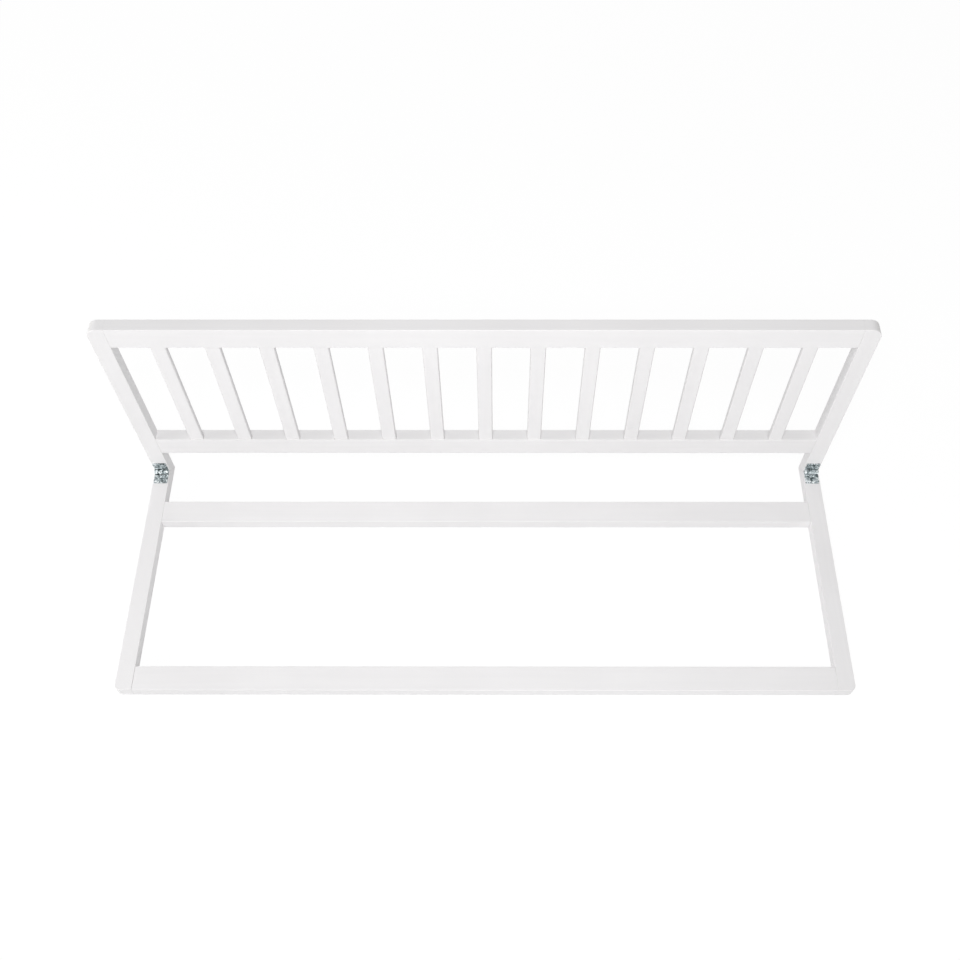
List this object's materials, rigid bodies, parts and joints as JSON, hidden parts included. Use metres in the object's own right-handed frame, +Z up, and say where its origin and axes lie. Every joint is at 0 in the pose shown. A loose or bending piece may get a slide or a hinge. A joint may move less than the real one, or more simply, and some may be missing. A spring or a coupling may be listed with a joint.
{
  "type": "folding bed guard rail",
  "caption": "Slatted wooden bed guard rail on a base frame that slides under a mattress, joined by hinges so that the guard folds flat onto the base.",
  "frame": {"origin": "on the floor plane under the middle of the part's bounding box", "axes": "+X along the guard from its left end to its right as seen from the bed, +Y from the base towards the guard, +Z up"},
  "size_m": [1.2, 0.437, 0.423],
  "materials": {
    "white_lacquered_wood": "satin white lacquer",
    "beech": "raw, unfinished",
    "zinc_plated_steel": "bright zinc plate, mottled"
  },
  "bodies": {
    "base_frame": {"left_arm": "white_lacquered_wood", "right_arm": "white_lacquered_wood", "front_crossbar": "white_lacquered_wood", "rear_crossbar": "white_lacquered_wood", "left_front_crossbar_dowel_1": "beech", "left_front_crossbar_dowel_2": "beech", "right_front_crossbar_dowel_1": "beech", "right_front_crossbar_dowel_2": "beech", "left_rear_crossbar_dowel_1": "beech", "left_rear_crossbar_dowel_2": "beech", "right_rear_crossbar_dowel_1": "beech", "right_rear_crossbar_dowel_2": "beech", "left_hinge_lower_leaf": "zinc_plated_steel", "right_hinge_lower_leaf": "zinc_plated_steel", "left_hinge_pin": "zinc_plated_steel", "right_hinge_pin": "zinc_plated_steel", "left_hinge_lower_leaf_screw_1": "zinc_plated_steel", "left_hinge_lower_leaf_screw_2": "zinc_plated_steel", "right_hinge_lower_leaf_screw_1": "zinc_plated_steel", "right_hinge_lower_leaf_screw_2": "zinc_plated_steel"},
    "guard_panel": {"left_post": "white_lacquered_wood", "right_post": "white_lacquered_wood", "top_rail": "white_lacquered_wood", "lower_rail": "white_lacquered_wood", "slat_01": "white_lacquered_wood", "slat_02": "white_lacquered_wood", "slat_03": "white_lacquered_wood", "slat_04": "white_lacquered_wood", "slat_05": "white_lacquered_wood", "slat_06": "white_lacquered_wood", "slat_07": "white_lacquered_wood", "slat_08": "white_lacquered_wood", "slat_09": "white_lacquered_wood", "slat_10": "white_lacquered_wood", "slat_11": "white_lacquered_wood", "slat_12": "white_lacquered_wood", "slat_13": "white_lacquered_wood", "left_top_rail_dowel_1": "beech", "left_top_rail_dowel_2": "beech", "right_top_rail_dowel_1": "beech", "right_top_rail_dowel_2": "beech", "left_lower_rail_dowel_1": "beech", "left_lower_rail_dowel_2": "beech", "right_lower_rail_dowel_1": "beech", "right_lower_rail_dowel_2": "beech", "left_hinge_upper_leaf": "zinc_plated_steel", "right_hinge_upper_leaf": "zinc_plated_steel", "left_hinge_upper_leaf_screw_1": "zinc_plated_steel", "left_hinge_upper_leaf_screw_2": "zinc_plated_steel", "right_hinge_upper_leaf_screw_1": "zinc_plated_steel", "right_hinge_upper_leaf_screw_2": "zinc_plated_steel"}
  },
  "joints": [
    {"name": "guard_fold", "type": "hinge", "parent": "base_frame", "child": "guard_panel", "pos_m": [0, 0.1928, 0.0257], "axis": [1, 0, 0], "range_deg": [0, 90]}
  ]
}
